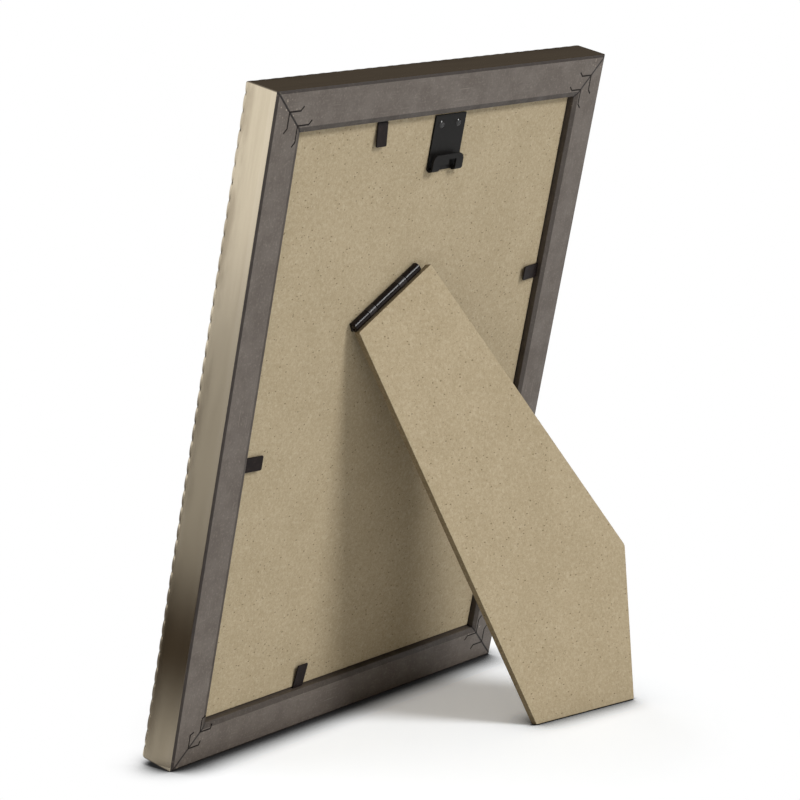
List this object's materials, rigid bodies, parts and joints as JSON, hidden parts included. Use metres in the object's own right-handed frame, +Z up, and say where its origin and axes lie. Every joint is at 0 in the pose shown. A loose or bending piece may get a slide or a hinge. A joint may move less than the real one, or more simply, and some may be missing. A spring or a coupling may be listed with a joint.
{
  "type": "easel back photo frame",
  "caption": "Mitred, rabbeted photo frame with a beaded front edge, leaning back on a slanted hinged leg, with flexible tabs and a wall hanger on its back.",
  "frame": {"origin": "on the floor, below the middle of the whole object as it stands", "axes": "+Z up, +X across the frame, the picture side faces -Y and the leg is at +Y"},
  "size_m": [0.157, 0.0789, 0.2055],
  "materials": {
    "moulding": "brushed champagne foil on the front and sides, stained grey-brown back",
    "nail_steel": "dull",
    "tab_steel": "blackened, satin",
    "pane": "clear float glass",
    "card": "matte paper card",
    "fibreboard": "raw medium density fibreboard",
    "hinge_steel": "black, glossy",
    "pin_steel": "drawn wire",
    "hanger_steel": "blackened, satin",
    "rivet_steel": "worn bright"
  },
  "bodies": {
    "frame": {"rail_top": "moulding", "rail_bottom": "moulding", "rail_left": "moulding", "rail_right": "moulding", "glass": "pane", "insert_card": "card", "backing_board": "fibreboard", "hinge_board_leaf": "hinge_steel", "hinge_pin": "pin_steel", "hanger_plate": "hanger_steel", "hanger_rivet_a": "rivet_steel", "hanger_rivet_b": "rivet_steel", "vnail_top_left_outer": "nail_steel", "vnail_top_left_inner": "nail_steel", "vnail_top_right_outer": "nail_steel", "vnail_top_right_inner": "nail_steel", "vnail_bottom_left_outer": "nail_steel", "vnail_bottom_left_inner": "nail_steel", "vnail_bottom_right_outer": "nail_steel", "vnail_bottom_right_inner": "nail_steel", "tab_root_top": "tab_steel", "tab_root_bottom": "tab_steel", "tab_root_left": "tab_steel", "tab_root_right": "tab_steel"},
    "leg": {"leg": "fibreboard", "hinge_leg_leaf": "hinge_steel"},
    "tab_top": {"tab_blade_top": "tab_steel"},
    "tab_bottom": {"tab_blade_bottom": "tab_steel"},
    "tab_left": {"tab_blade_left": "tab_steel"},
    "tab_right": {"tab_blade_right": "tab_steel"}
  },
  "joints": [
    {"name": "leg_hinge", "type": "hinge", "parent": "frame", "child": "leg", "pos_m": [0.02607, -0.00053, 0.12869], "axis": [-0.8591, 0.1085, 0.5001], "range_deg": [0, 22.6]},
    {"name": "tab_top_bend", "type": "hinge", "parent": "frame", "child": "tab_top", "pos_m": [0.027, 0.01195, 0.19061], "axis": [1, 0, 0], "range_deg": [-5, 84]},
    {"name": "tab_bottom_bend", "type": "hinge", "parent": "frame", "child": "tab_bottom", "pos_m": [0.0218, -0.02651, 0.01333], "axis": [-1, 0, 0], "range_deg": [-5, 84]},
    {"name": "tab_left_bend", "type": "hinge", "parent": "frame", "child": "tab_left", "pos_m": [-0.0652, -0.00013, 0.1349], "axis": [0, 0.212, 0.9773], "range_deg": [-5, 84]},
    {"name": "tab_right_bend", "type": "hinge", "parent": "frame", "child": "tab_right", "pos_m": [0.0652, -0.00927, 0.09278], "axis": [0, -0.212, -0.9773], "range_deg": [-5, 84]}
  ]
}
